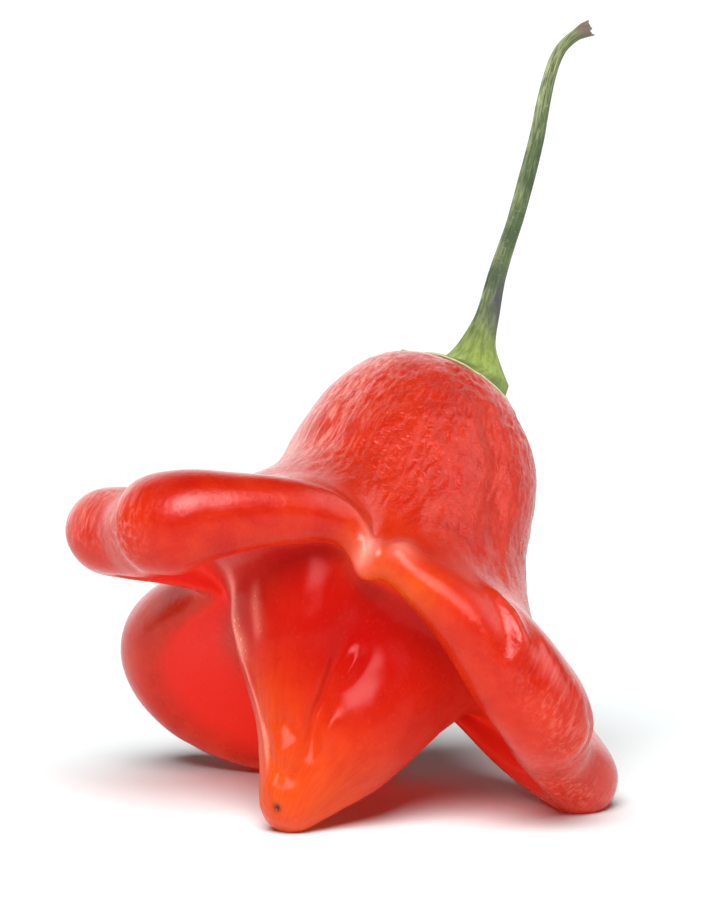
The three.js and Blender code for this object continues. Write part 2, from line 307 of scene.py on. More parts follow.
# %% All strokes
# name: (spots as azimuth and place, width in mm, height in mm)
STROKES = {
    "crease of the left bulb": (
        [(-69, 10.0), (-71, 10.8), (-71.5, 11.6), (-72, 12.2), (-72.5, 12.8)], 2.2, -0.85),
    "knuckle under the left lip": ([(-56, 12.3), (-59, 12.8)], 2.6, 0.7),
    "left lip's soft upper edge": ([(-30, 9.6), (-20, 9.9), (-12, 10.2)], 1.0, 0.25),
    "bump at the lip's end": ([(-9.1, 10.7)], 1.15, 0.95),
    "second bump": ([(1.7, 9.7)], 1.5, 0.6),
    "gap between the bumps": ([(-8.5, 10.4), (-8.5, 9.6)], 0.7, -0.45),
    "crest of the right wing": (
        [(24, 8.4), (31, 9.0), (34, 9.4), (37, 9.6), (39, 9.9), (41, 10.15), (42, 10.4), (42.7, 10.9)],
        0.8, 0.75),
    "hollow beside the crest": (
        [(31, 9.5), (33.5, 9.9), (36, 10.2), (38.5, 10.5), (40, 10.8)], 1.4, -0.45),
    "fold under the crest": ([(44, 9.4), (46, 9.9), (47, 10.4), (46, 10.9)], 0.5, -0.22),
    "boundary of the back bulb": (
        [(60.8, 9.7), (64.3, 9.95), (68.5, 10.1), (70.5, 10.5), (72, 11.0), (70, 11.5)], 0.6, -0.4),
    "rim of the back bulb": (
        [(62, 10.2), (65.5, 10.5), (67.5, 10.9), (67, 11.4)], 0.5, 0.2),
    "front crease of the cone": (
        [(-8.5, 16.2), (-8.5, 16.9), (-8.5, 17.3), (-8.5, 17.7), (-8.5, 18.7), (1, 19.4), (2.6, 19.9)],
        0.8, -0.42),
    "fold left of it": ([(-12, 16.8), (-13, 17.5), (-14, 18.4)], 0.9, 0.28),
    "fold right of it": ([(4.5, 16.4), (4, 16.9), (2.5, 17.5)], 0.8, 0.5),
    "fold lower down": ([(6, 18.2), (7.5, 18.7), (9, 19.3)], 0.75, 0.45),
    "bulge of the right lobe": ([(48, 17.4), (46, 18.2)], 5.0, 0.7),
    "fold at the cone's top": ([(-60, 14.9), (-50, 14.6), (-38, 14.6)], 0.8, 0.4),
    "crease on the left lobe": ([(-62, 18.6), (-58, 19.2), (-50, 19.6), (-46, 20.3)], 0.55, -0.32),
    "ridge of the left lobe": ([(-84, 15.6), (-80, 16.6), (-76, 17.6), (-66, 18.8)], 0.9, 0.3),
    "nose knob": ([(-33.7, 19.7)], 1.15, 0.5),
    "furrow over the nose": ([(-55, 19.1), (-36, 18.9), (-18, 19.3)], 0.7, -0.4),
    "nose dent": ([(-22, 20.4)], 1.0, -0.45),
    "lower nose knob": ([(-42, 20.9)], 1.2, 0.5),
    "tip knob": ([(-20, 21.5)], 0.8, 0.22),
    "scar": ([(-27.7, 22.0)], 0.42, -0.42),
    "furrow of the bell": (
        [(22, 3.6), (24.3, 4.5), (34, 5.5), (38.5, 6.5), (42, 7.4), (44.5, 8.1)], 1.7, -0.5),
    "right flank of the bell": ([(66, 4.6), (62, 5.6)], 4.0, 0.35),
    "left furrow of the bell": ([(-55, 4.2), (-50, 5.4), (-46, 6.6)], 2.2, -0.35),
    "back furrow of the bell": ([(150, 3.8), (155, 5.6), (160, 7.4)], 2.4, -0.45),
    "left crease of the back wing": ([(-158, 9.4), (-157, 10.6), (-157, 11.8)], 0.9, -0.35),
    "right crease of the back wing": ([(-180, 9.2), (-179, 10.4), (-178, 11.6)], 1.1, -0.4),
    "middle crease of the left wing": ([(-84, 8.8), (-82, 9.4)], 1.4, -0.3),
}
lift = np.zeros(skin.shape[:2])
for spots, width, rise_mm in STROKES.values():
    # the grid runs from azimuth -8.5 down to -368.5, so spots on the right are a full turn lower
    spots = [(a - 360 if a > 0 else a, p) for a, p in spots]
    lift += rise_mm * stroke_mask(spots, width, fade=0.3 if len(spots) > 2 else 0.0)
print(len(STROKES), "strokes, from", lift.min().round(2), "to", lift.max().round(2), "mm")

# %% [markdown]
# Living skin is never quite even either. We add slow swells all over, long furrows that run down the
# cone, and fine wrinkles on the bell where it has started to dry. All three come from noise: random
# numbers at the corners of a lattice, blended smoothly, so that the same number gives the same skin.


# %% Noise
def noise(points, size, seed):
    """Smooth random values from -1 to 1: a random number at each corner of a lattice, eased between.
    The big primes only scramble the corner and the seed into that number."""
    p = points / size
    cell = np.floor(p).astype(np.int64)
    f = p - cell
    f = f * f * f * (f * (f * 6 - 15) + 10)
    total = 0.0
    for dx in (0, 1):
        for dy in (0, 1):
            for dz in (0, 1):
                x, y, z = cell[..., 0] + dx, cell[..., 1] + dy, cell[..., 2] + dz
                h = (x * 73856093) ^ (y * 19349663) ^ (z * 83492791) ^ (seed * 2654435761)
                h = ((h ^ (h >> 13)) * 1274126177) & 0x7FFFFFFF
                h = ((h ^ (h >> 15)) * 668265263) & 0x7FFFFFFF
                weight = (f[..., 0] if dx else 1 - f[..., 0]) * (f[..., 1] if dy else 1 - f[..., 1])
                total = total + (h / 0x3FFFFFFF - 1) * weight * (f[..., 2] if dz else 1 - f[..., 2])
    return total


print("noise sample", noise(skin[:3, 50], 5.0, 1).round(3))

# %% Regions of the skin
own = np.stack([side, front, height], -1)
place_grid = np.ones(len(azimuth))[:, None] * places
turn_deg = np.degrees(azimuth)


def near_azimuth(centre, width):
    """1 at an azimuth and less away from it, as a bell curve of the angle."""
    return hump(turn_deg, centre, width)


def between(start, full, fade, end):
    """1 between two places along the outlines, rising from start to full and falling from fade to end."""
    return ramp(place_grid, start, full) * (1 - ramp(place_grid, fade, end))


bell_part = between(2.2, 3.2, 7.6, 9.2)
cone_part = between(14.6, 16.5, 21.2, 22.6)
print("shares of the grid: bell", bell_part.mean().round(2), "cone", cone_part.mean().round(2))

# %% Wrinkles of the bell and furrows of the cone
CREPE_HEIGHT = 0.13
patchy = 0.55 + 0.45 * ramp(noise(own, 4.5, 7), -0.4, 0.5)
crepe_patch = bell_part * (0.25 + 0.75 * near_azimuth(18, 42)) * patchy
stretched = own * np.array([1.0, 1.0, 0.45])
warp = noise(own, 2.6, 11) * 0.9 + noise(own, 1.3, 12) * 0.35
bent = stretched + warp[..., None] * 0.5
crepe = 1.2 - 2.8 * np.abs(noise(bent, 1.1, 13)) - 2.0 * np.abs(noise(bent, 0.6, 14))
crepe += noise(stretched, 2.4, 15) * 0.8
swell = noise(own, 9.0, 21) * 0.22 + noise(own, 4.0, 22) * 0.09
# noise on this space closes up round the fruit and is stretched along its outlines
flow = np.stack([np.sin(azimuth) * 9, np.cos(azimuth) * 9, place_grid * 0.6], -1)
furrows = noise(flow, 3.0, 31) * 0.07 + noise(own, 2.2, 32) * 0.08 + noise(own, 1.1, 33) * 0.025
swell *= between(2.2, 4.0, 22, 23.5)
lift += CREPE_HEIGHT * crepe * crepe_patch + swell + furrows * cone_part
print("crepe on", round(float((crepe_patch > 0.3).mean()) * 100), "% of the skin")

# %% [markdown]
# The front lip of the right wing ends in a small soft beak that hangs over the hollow. A lift along the
# skin can't make it, so we pull that spot down and to the left, most at its middle and less around it.

# %% Pull the beak and set the tip and wings on the floor
BEAK = dict(spot=(-8.5, 12.1), width=2.4, right=-1.0, up=-2.2, toward=0.6)
detailed = skin + normals * lift[..., None]
beak_pull = stroke_mask([BEAK["spot"]], BEAK["width"], fade=0)
detailed += beak_pull[..., None] * (BEAK["right"] * RIGHT + BEAK["up"] * UP + BEAK["toward"] * TOWARD)
below = detailed[..., 2] < 0
detailed[..., 2] = np.maximum(detailed[..., 2], 0)
print("beak pulled by", round(float(np.hypot(BEAK["right"], BEAK["up"])), 2), "mm")
print(int(below.sum()), "points set on the floor")

# %% [markdown]
# A material needs to know where it is on the fruit. We store masks as attributes on the mesh: how ripe
# orange each point still is, how deep it lies in the hollow, where its deep red is painted as shade,
# where a lighter red is painted under the lips as light, where highlights are painted, and where the
# skin is wrinkled. The flow attribute runs round the fruit and along its outlines, so streaks can follow
# the growth of the skin.

# %% Masks for the skin
tip_orange = 1 - ramp(height, 1.5, 15.0)
left_lobe = near_azimuth(-62, 30) * ramp(place_grid, 16.8, 18.6) * cone_part * 0.5
beak_orange = stroke_mask([(-358.5, 11.8), (-352, 11.6), (-347, 11.2)], 2.7, fade=0) * 0.9
lip_orange = stroke_mask([(-12, 11.4), (-8.5, 11.6)], 3.0, fade=0) * 0.5
orange = np.clip(tip_orange * 0.8 * (place_grid > 12) + left_lobe + beak_orange + lip_orange, 0, 1)
# the lips' undersides: painted a lighter red, in place of the light thrown up from the floor
underside_painted_light = between(12.3, 13.2, 14.2, 15.0)
# the hollow under the lips: its deep red is painted shade
hollow = between(14.0, 14.8, 16.2, 19.4) * near_azimuth(2, 75)
scar = stroke_mask([(-27.7, 22.0)], 0.5, fade=0)
shine = stroke_mask([(-8.5, 16.4), (-8.5, 16.9), (-8.5, 17.5)], 0.8)
shine += stroke_mask([(-8.5, 18.2), (-8.5, 18.7), (-8.5, 19.3)], 0.75)
# pale bands down the cone's left ridge: painted highlights
ridge_highlight = stroke_mask([(-88, 15.0), (-85, 15.8), (-82, 16.6), (-78, 17.4)], 1.25)
ridge_highlight += 0.7 * stroke_mask([(-82, 16.8), (-76, 17.7), (-66, 18.9), (-58, 19.6), (-50, 20.6)], 0.35)
ridge_highlight += 0.3 * stroke_mask([(-61, 15.6), (-60, 16.3), (-59, 17.0)], 0.8)
# pale pink on the knobs at the front lip's end: painted highlights
knob_highlight = 0.6 * stroke_mask([(-9.1, 10.7)], 1.2, fade=0)
knob_highlight += 0.35 * stroke_mask([(-358.3, 9.7)], 1.1, fade=0)
knob_highlight += 0.12 * stroke_mask([(-354, 9.9)], 1.2, fade=0)
duller = cone_part + 0.75 * near_azimuth(14, 13) * between(9.0, 9.8, 11.3, 12.2)
# azimuth, width, places and strength of each patch of pale streaks, painted as highlights
HIGHLIGHT_STREAK_PATCHES = [(-92, 14, (7.5, 9.0, 10.6, 11.8), 0.55), (-68, 7, (8.0, 9.4, 11.2, 12.6), 0.5),
            (-60, 26, (2.4, 3.4, 6.4, 8.4), 0.8), (58, 13, (8.2, 9.2, 10.6, 11.6), 0.22),
            (84, 16, (10.2, 11.0, 12.2, 13.0), 0.25)]
highlight_streaks = sum(strength * near_azimuth(centre, width) * between(*ends)
              for centre, width, ends, strength in HIGHLIGHT_STREAK_PATCHES)
masks = dict(highlight_streaks=highlight_streaks, orange=orange, hollow=hollow, underside_painted_light=underside_painted_light, shine=shine,
             wrinkled=crepe_patch, scar=scar, ridge_highlight=ridge_highlight, knob_highlight=knob_highlight, duller=duller)
# painted highlight streaks of the lips and the bell run along the outlines,
# so this space is stretched that way
grain = np.stack([np.sin(azimuth) * reach * 1.7, np.cos(azimuth) * reach * 1.7, place_grid * 0.9], -1)
vectors = dict(flow=flow, grain=grain)
print("mask means", {key: round(float(values.mean()), 3) for key, values in masks.items()})

# %% [markdown]
# The grid of the fruit runs all the way round and ends in one point at the calyx and one at the tip. The
# stalk's grid is built the same way, so one function turns either into a closed mesh with four-sided
# faces and fans of triangles at its ends, and stores the masks on it.


# %% Put a closed grid into a mesh
def closed_grid(name, points, masks, vectors):
    """Mesh over columns of points whose first and last rings are poles, with its faces pointing out."""
    count, rings = points.shape[:2]

    def in_order(values):
        return np.concatenate([values[:1, 0], values[:, 1:-1].swapaxes(0, 1).reshape(-1, *values.shape[2:]),
                               values[:1, -1]])

    c = np.arange(count)
    n = (c + 1) % count
    upper = 1 + np.arange(rings - 3)[:, None] * count
    quads = np.stack([upper + c, upper + n, upper + count + n, upper + count + c], -1).reshape(-1, 4)
    vertices = in_order(points) * MM
    last, lowest = len(vertices) - 1, 1 + (rings - 3) * count
    first_cap = np.stack([0 * c, 1 + n, 1 + c], -1)
    last_cap = np.stack([lowest + c, lowest + n, 0 * c + last], -1)
    caps = np.vstack([first_cap, last_cap])
    mesh = bpy.data.meshes.new(name)
    mesh.from_pydata(vertices.tolist(), [], quads.tolist() + caps.tolist())
    mesh.polygons.foreach_set("use_smooth", np.ones(len(mesh.polygons), bool))
    for key, values in masks.items():
        data = mesh.attributes.new(key, "FLOAT", "POINT").data
        data.foreach_set("value", in_order(values).astype(np.float32))
    for key, values in vectors.items():
        data = mesh.attributes.new(key, "FLOAT_VECTOR", "POINT").data
        data.foreach_set("vector", in_order(values).astype(np.float32).ravel())
    mesh.update()
    piece = bpy.data.objects.new(name, mesh)
    bpy.context.scene.collection.objects.link(piece)
    print(name, len(vertices), "vertices,", 2 * len(quads) + len(caps), "triangles")
    return piece


fruit = closed_grid("ripe_fruit", detailed, masks, vectors)
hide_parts("fruit")
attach(fruit, BODY)

# %% [markdown]
# The stalk is a profile carried along a path. Its five ribs run down into the calyx, a skirt that lies
# on the shoulder of the fruit with a thin papery edge and short teeth. The far end is where it broke off:
# dry, splayed and ragged. One grid does it all, from the broken end down to the middle of the calyx.

# %% Path of the stalk
# side, front and height of the centre line on the fruit's axes, and its radius
STALK = np.array([
    (0.9, 0, 61.5, 4.5), (0.7, 0, 63.7, 3.1), (0.2, 0, 66.4, 1.75), (0.15, 0, 70.4, 1.3),
    (-0.6, 0.2, 74.2, 1.12), (-0.9, 0.5, 78.8, 0.95), (-1.1, 0.9, 83.1, 0.92), (-2.1, 1.9, 90.9, 0.92),
    (-2.6, 2.8, 94.1, 0.86), (-3.5, 3.7, 98, 0.8), (-4.1, 4.7, 102.2, 0.7), (-4, 5.6, 104.9, 0.68),
    (-2.6, 6.3, 107.1, 0.7), (-1.7, 6.8, 107.7, 0.8)])
STALK_SIDES, STALK_STEPS = 144, 14
at = np.arange((len(STALK) - 1) * STALK_STEPS + 1) / STALK_STEPS
before, after = 2 * STALK[0] - STALK[1], 2 * STALK[-1] - STALK[-2]
path = blend_along(STALK[None], at, before[None], after[None])[0]
centres = place(path[:, 0], path[:, 1], path[:, 2])
tangents = np.gradient(centres, axis=0)
tangents /= np.linalg.norm(tangents, axis=1, keepdims=True)
along = np.concatenate([[0], np.cumsum(np.linalg.norm(np.diff(centres, axis=0), axis=1))])
section_front = FRONT_AXIS - (tangents @ FRONT_AXIS)[:, None] * tangents
section_front /= np.linalg.norm(section_front, axis=1, keepdims=True)
section_side = -np.cross(section_front, tangents)
print("stalk", along[-1].round(1), "mm long on its centre line")

# %% [markdown]
# Now the stalk's section is carried along the path: a circle with five shallow ribs and fine fibres. At
# the broken end it splays and its edge runs up and down, as torn fibres do.

# %% Sections of the stalk
RIB_COUNT, RIB_TURN, RIB_DEPTH = 5, 62, 0.07
RIB_WIND = 0.012        # the ribs wind slowly round the stalk, in radians for each mm
END_DEPTH, END_WALL = 0.25, 0.62 * 0.9
sides = np.radians(-360 * np.arange(STALK_SIDES) / STALK_SIDES)
turn = sides[None, :] + RIB_WIND * along[:, None]
radius = path[:, 3][:, None]
ribs = 1 + RIB_DEPTH * np.cos(RIB_COUNT * (turn - np.radians(RIB_TURN)))
fibre_space = np.stack([np.cos(turn) * 3, np.sin(turn) * 3, along[:, None] * 0.09 + 0 * turn], -1)
flare = 1 - ramp(along, 2.0, 9.0)[:, None]
fibres = noise(fibre_space, 0.55, 41) * (0.05 + 0.03 * flare) + noise(fibre_space, 0.27, 42) * 0.03
splay = ramp(along, along[-1] - 1.8, along[-1] - 0.9)[:, None]
ragged = noise(np.stack([np.cos(sides) * 2, np.sin(sides) * 2, 0 * sides], -1), 0.7, 43)[None, :]
radius = radius * (ribs + fibres) * (1 + splay * (0.16 + 0.12 * ragged))
across = np.sin(sides)[None, :, None] * section_side[:, None]
ahead = np.cos(sides)[None, :, None] * section_front[:, None]
sections = centres[:, None] + radius[..., None] * (across + ahead)
sections += (splay * (0.1 + 0.3 * ragged))[..., None] * tangents[:, None]
end_inside = centres[-1] - END_DEPTH * tangents[-1]
inner = end_inside + END_WALL * (sections[-1] - sections[-1].mean(0))
print("sections", sections.shape)

# %% [markdown]
# The calyx is the green cap that the stalk spreads into. We lay rings on the top of the fruit, each at a
# share of the reach, over the thin edge and back under it. So it follows the dome closely all round.

# %% Skirt of the calyx
CALYX_REACH, CALYX_GAP = 6.4, 0.15
CALYX_EDGE, EDGE_SHARE = 0.25, 0.6       # a ring with a share of 0.6 lies 0.25 mm over the gap
TEETH_COUNT, TEETH_REACH = 5, 0.45
sides_deg = np.degrees(sides)
rim_noise = noise(np.stack([np.cos(sides) * 6, np.sin(sides) * 6, 0 * sides], -1), 1.3, 51)
side_tooth = hump(sides_deg, -76, 5)
rim = CALYX_REACH + TEETH_REACH * np.cos(np.radians(TEETH_COUNT * (sides_deg - RIB_TURN)))
rim += 0.35 * rim_noise + 0.8 * side_tooth + 0.35 * np.sin(sides) + 0.5 * hump(sides_deg, -35, 30)
print("calyx reaches", rim.min().round(2), "to", rim.max().round(2), "mm")


def top_height(azimuth_deg, reaches):
    """Height of the fruit's top at each azimuth and reach, read off the nearest column of the grid."""
    away = (turn_deg[:, 0][None, :] - azimuth_deg[:, None] + 180) % 360 - 180
    nearest = np.abs(away).argmin(1)
    top = slice(0, STEPS_BELL * 5)       # the rings of the dome, where the height falls with the reach
    return np.array([np.interp(r, reach[k, top], height[k, top]) for k, r in zip(nearest, reaches)])


def calyx_ring(share, over):
    """A ring of the calyx at a share of its reach and a lift over the fruit, in mm."""
    reaches = share * rim
    curl = 0.35 * side_tooth * max(share - 0.75, 0) * 4      # the end of the side tooth lifts off
    heights = top_height(sides_deg, reaches) + CALYX_GAP + over + curl
    shift = BELL_SHIFT * ramp(heights, SHIFT_FROM, SHIFT_TO)
    return place(reaches * np.sin(sides) + shift, reaches * np.cos(sides), heights)


# share of the reach and share of the edge's height for each ring, over the rim and back under it
RIM_RINGS = [(0.9, 0.95), (0.95, 0.78), (0.985, 0.66), (1.01, 0.5), (1.02, 0.3), (1.01, 0.08),
             (0.98, -0.05), (0.9, -0.02), (0.7, 0), (0.35, 0), (0, 0)]
skirt = np.array([calyx_ring(share, over * CALYX_EDGE / EDGE_SHARE) for share, over in RIM_RINGS])
pole = np.repeat(end_inside[None, None], STALK_SIDES, 1)
rows = np.concatenate([pole, inner[None], sections[::-1], skirt])
stalk_grid = rows.swapaxes(0, 1)
print("stalk grid", stalk_grid.shape)

# %% [markdown]
# The stalk's material needs masks too: how far along the stalk a point is, and where the skirt, its thin
# edge, the flank painted darker as shade, the dark purplish patch and the dry broken end are. Most change
# only from row to row.

# %% Masks for the stalk
# the rows are the two of the broken end, then those of the stalk and last those of the skirt
row_along = np.concatenate([[along[-1], along[-1]], along[::-1], np.zeros(len(skirt))])
row_flow = np.concatenate([[along[-1], along[-1]], along[::-1], -0.4 * np.arange(len(skirt))])
row_rim = np.concatenate([np.zeros(2 + len(along)), [0, 0, 0, 0.2, 1, 1, 0.5, 0.1, 0, 0, 0]])
row_skirt = np.concatenate([[0, 0], ramp(-along[::-1], -10.0, -1.5), np.ones(len(skirt))])
row_end = np.concatenate(
    [[1, 1], ramp(along[::-1], along[-1] - 2.4, along[-1] - 0.6), np.zeros(len(skirt))])
spread = np.ones(STALK_SIDES)[:, None]
stalk_masks = dict(along=spread * row_along, rim=spread * row_rim, skirt=spread * row_skirt,
                   dry=spread * row_end)
stalk_masks["cut"] = spread * np.concatenate([[1, 1], np.zeros(len(row_end) - 2)])
row_edge = np.concatenate([np.zeros(2 + len(along)), [0.7, 0.9, 0.8, 0.5], np.zeros(len(skirt) - 4)])
stalk_masks["edge"] = spread * row_edge
# one side of the stalk, painted darker as shade
stalk_masks["flank"] = (0.5 + 0.5 * np.sin(sides + 0.35))[:, None] * ramp(row_along, 3.0, 9.0)
stalk_masks["tooth"] = side_tooth[:, None] * row_skirt * (row_along == 0)
# a dark purplish patch on one side of the stalk, about 10 mm from the calyx
stalk_masks["dark_patch"] = np.exp(-((spread * row_along - 10.5) / 3.0) ** 2) * hump(sides_deg[:, None], 50, 55)
every_row = np.ones(len(row_along))
stalk_flow = np.stack([3 * np.cos(sides)[:, None] * every_row, 3 * np.sin(sides)[:, None] * every_row,
                       0.25 * spread * row_flow], -1)
stalk = closed_grid("calyx_with_stalk", stalk_grid, stalk_masks, dict(flow=stalk_flow))
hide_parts("calyx_and_stalk")
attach(stalk, BODY)

# %% [markdown]
# Both materials are trees of nodes. Placing nodes by hand in the shader editor works well, but a tree
# that is written down can be read and rebuilt, so we make a few short helpers for it.


# %% Helpers for node trees
def new_node(tree, kind, **settings):
    """A new node of the given kind, with its settings."""
    node = tree.nodes.new(kind)
    for key, value in settings.items():
        setattr(node, key, value)
    return node


def link(tree, source, target):
    """Feed a socket from the output of another node, or set it to a number or a colour."""
    if isinstance(source, (int, float)):
        target.default_value = source
    elif isinstance(source, tuple):
        target.default_value = (*source, 1)
    else:
        tree.links.new(source, target)


def maths(tree, operation, first, second=0.0, clamp=False):
    """Result of a Math node for two values, each a number or the output of another node."""
    node = new_node(tree, "ShaderNodeMath", operation=operation, use_clamp=clamp)
    link(tree, first, node.inputs[0])
    link(tree, second, node.inputs[1])
    return node.outputs["Value"]


def times(tree, first, second, clamp=False):
    """The product of two values."""
    return maths(tree, "MULTIPLY", first, second, clamp)


def plus(tree, first, second, clamp=False):
    """The sum of two values."""
    return maths(tree, "ADD", first, second, clamp)


def mix_colours(tree, factor, first, second):
    """Mix node for colours: first where the factor is 0 and second where it is 1."""
    node = new_node(tree, "ShaderNodeMix", data_type="RGBA")
    for name, kind, value in (("Factor", "VALUE", factor), ("A", "RGBA", first), ("B", "RGBA", second)):
        link(tree, value, next(i for i in node.inputs if i.name == name and i.type == kind))
    return next(o for o in node.outputs if o.type == "RGBA")


def attribute(tree, name, output="Fac"):
    """A mask that is stored on the mesh, or a vector with Vector as the output."""
    return new_node(tree, "ShaderNodeAttribute", attribute_name=name).outputs[output]


def noise_node(tree, vector, scale, detail=3.0, roughness=0.55, distortion=0.0):
    """Soft random values round a half, on the space that the vector gives."""
    node = new_node(tree, "ShaderNodeTexNoise")
    for name, value in (("Vector", vector), ("Scale", scale), ("Detail", detail),
                        ("Roughness", roughness), ("Distortion", distortion)):
        link(tree, value, node.inputs[name])
    return node.outputs["Fac"]


def smooth_span(tree, value, low, high, start=0.0, end=1.0):
    """A smooth S from start, where the value is low, to end, where it is high, and level past both."""
    node = new_node(tree, "ShaderNodeMapRange", interpolation_type="SMOOTHSTEP")
    for name, given in (("Value", value), ("From Min", low), ("From Max", high), ("To Min", start),
                        ("To Max", end)):
        link(tree, given, node.inputs[name])
    return node.outputs["Result"]


print("node helpers ready")

# %% [markdown]
# Both surfaces are streaked along their growth and mottled with small paler flecks. It is the same
# effect at other scales, so it is one node group, placed in both materials with its own values.


# %% Growth streaks, a shared group
def growth_streaks():
    """Group: streaks along the flow attribute, flecks and mottle on the object's own coordinates."""
    group = bpy.data.node_groups.new("growth_streaks", "ShaderNodeTree")
    for name, kind in (("Flow", "NodeSocketVector"), ("Position", "NodeSocketVector"),
                       ("Streak Scale", "NodeSocketFloat"), ("Fleck Scale", "NodeSocketFloat")):
        group.interface.new_socket(name, in_out="INPUT", socket_type=kind)
    for name in ("Streaks", "Flecks", "Mottle"):
        group.interface.new_socket(name, in_out="OUTPUT", socket_type="NodeSocketFloat")
    given = new_node(group, "NodeGroupInput").outputs
    results = new_node(group, "NodeGroupOutput").inputs
    coarse = times(group, given["Fleck Scale"], 0.13)
    streaks = noise_node(group, given["Flow"], given["Streak Scale"], 4.0, 0.6)
    flecks = noise_node(group, given["Position"], given["Fleck Scale"], 2.0, 0.5)
    mottle = noise_node(group, given["Position"], coarse, 3.0, 0.5)
    link(group, smooth_span(group, streaks, 0.35, 0.65), results["Streaks"])
    link(group, smooth_span(group, flecks, 0.6, 0.74), results["Flecks"])
    link(group, smooth_span(group, mottle, 0.35, 0.65), results["Mottle"])
    return group


streak_group = growth_streaks()


def place_streaks(tree, streak_scale, fleck_scale):
    """Place the group in a material; returns its outputs and the object's own coordinates."""
    node = new_node(tree, "ShaderNodeGroup", node_tree=streak_group)
    position = new_node(tree, "ShaderNodeTexCoord").outputs["Object"]
    link(tree, streak_scale, node.inputs["Streak Scale"])
    link(tree, fleck_scale, node.inputs["Fleck Scale"])
    link(tree, attribute(tree, "flow", "Vector"), node.inputs["Flow"])
    link(tree, position, node.inputs["Position"])
    return node.outputs, position


print("group", streak_group.name)

# %% [markdown]
# The skin is a glossy wax over red flesh. Its colour goes from ripe red on the bell to orange at the nose
# and the beak. The deep red in the hollows is painted shade, and the lighter red under the lips is painted
# light. A texture image would need the fruit unwrapped first. Nodes that mix colours by our masks follow
# the shape by themselves and stay sharp at any distance.

# %% Ripe skin
RIPE_RED = (0.375, 0.012, 0.002)
# dark red of the random blotches, and the painted shade of the hollow
DARK_RED_AND_PAINTED_SHADE = (0.3, 0.002, 0.001)
# a lighter red painted on the lips' undersides in place of light
PAINTED_LIGHT_RED = (0.55, 0.011, 0.004)
CORAL = (0.43, 0.022, 0.006)
ORANGE = (0.46, 0.05, 0.003)
# pale of the flecks, and of the painted highlights
PALE_FLECK_AND_HIGHLIGHT = (0.9, 0.38, 0.3)
SCAR_BROWN = (0.03, 0.012, 0.006)

ripe_skin = bpy.data.materials.new("ripe_skin")
ripe_skin.use_nodes = True
tree = ripe_skin.node_tree
shader = tree.nodes["Principled BSDF"]
streaks, position = place_streaks(tree, streak_scale=1.6, fleck_scale=2600.0)
blotches = smooth_span(tree, noise_node(tree, position, 130.0, 5.0, 0.6, 0.5), 0.46, 0.68, end=0.55)
grown_orange = plus(tree, times(tree, streaks["Streaks"], 0.45), 0.62)
streaked_orange = times(tree, attribute(tree, "orange"), grown_orange, clamp=True)
# each factor and the colour that it brings in over those before it
colour = RIPE_RED
for factor, over in ((times(tree, streaks["Mottle"], 0.55), CORAL), (blotches, DARK_RED_AND_PAINTED_SHADE),
                     # a lighter red painted under the lips as light, and deep red painted in the hollow as
                     # shade
                     (attribute(tree, "underside_painted_light"), PAINTED_LIGHT_RED), (attribute(tree, "hollow"), DARK_RED_AND_PAINTED_SHADE),
                     (streaked_orange, ORANGE)):
    colour = mix_colours(tree, factor, colour, over)
print("ripe_skin", len(tree.nodes), "nodes for its red")

# %% [markdown]
# Pale pink is painted where the skin catches light, as painted highlights: on the left ridge of the
# cone, on the knobs of the front lips and in thin lines on the lips and the bell. With the tiny pale
# flecks all over, we add up all the pale marks and mix them in at once, and then add the dark blossom
# scar.

# %% Painted highlights, pale flecks and scar
# the painted highlight bands of the left ridge, speckled by the flecks
bands = times(tree, attribute(tree, "ridge_highlight"), plus(tree, streaks["Flecks"], 0.62))
# thin lines of painted highlight on the lips and the bell
highlight_lines = noise_node(tree, attribute(tree, "grain", "Vector"), 1.0, 4.0, 0.65, 0.4)
highlight_lines = times(tree, smooth_span(tree, highlight_lines, 0.42, 0.7, end=0.6), attribute(tree, "highlight_streaks"))
# the tiny pale flecks, and the painted highlights added to them
flecks_and_highlights = plus(tree, times(tree, streaks["Flecks"], 0.02), times(tree, bands, 0.85))
flecks_and_highlights = plus(tree, flecks_and_highlights, highlight_lines)
flecks_and_highlights = plus(tree, flecks_and_highlights, times(tree, attribute(tree, "knob_highlight"), 0.7), clamp=True)
colour = mix_colours(tree, flecks_and_highlights, colour, PALE_FLECK_AND_HIGHLIGHT)
colour = mix_colours(tree, attribute(tree, "scar"), colour, SCAR_BROWN)
link(tree, colour, shader.inputs["Base Color"])
print("ripe_skin", len(tree.nodes), "nodes with its pale marks")

# %% [markdown]
# The skin's gloss isn't even: it is duller in the hollow, under the lips and on the cone, and keener
# along the cone's front crease. Wrinkles that are too fine for the grid are a bump, which bends the light
# and not the shape. A little light goes in and comes out redder, which the subsurface part of the shader
# does, and a thin coat gives the wet highlights.

# %% Gloss and fine relief of the skin
ROUGHNESS = 0.2
fine = noise_node(tree, position, 1700.0, 4.0, 0.6)
roughness = plus(tree, ROUGHNESS, times(tree, fine, 0.1))
for name, change in (("wrinkled", 0.06), ("hollow", 0.55), ("underside_painted_light", 0.3), ("duller", 0.42),
                     ("shine", -0.22)):
    roughness = plus(tree, roughness, times(tree, attribute(tree, name), change))
link(tree, roughness, shader.inputs["Roughness"])
furrow_bumps = noise_node(tree, attribute(tree, "flow", "Vector"), 2.0, 5.0)
crinkle = maths(tree, "SUBTRACT", noise_node(tree, position, 1100.0, 3.0, 0.55, 0.6), 0.5)
folds = times(tree, maths(tree, "ABSOLUTE", crinkle), attribute(tree, "wrinkled"))
bumps = plus(tree, times(tree, fine, 0.7), times(tree, furrow_bumps, 0.4))
bumps = plus(tree, bumps, times(tree, folds, -6.0))
bump = new_node(tree, "ShaderNodeBump")
link(tree, 0.5, bump.inputs["Strength"])
link(tree, 0.00022, bump.inputs["Distance"])
link(tree, bumps, bump.inputs["Height"])
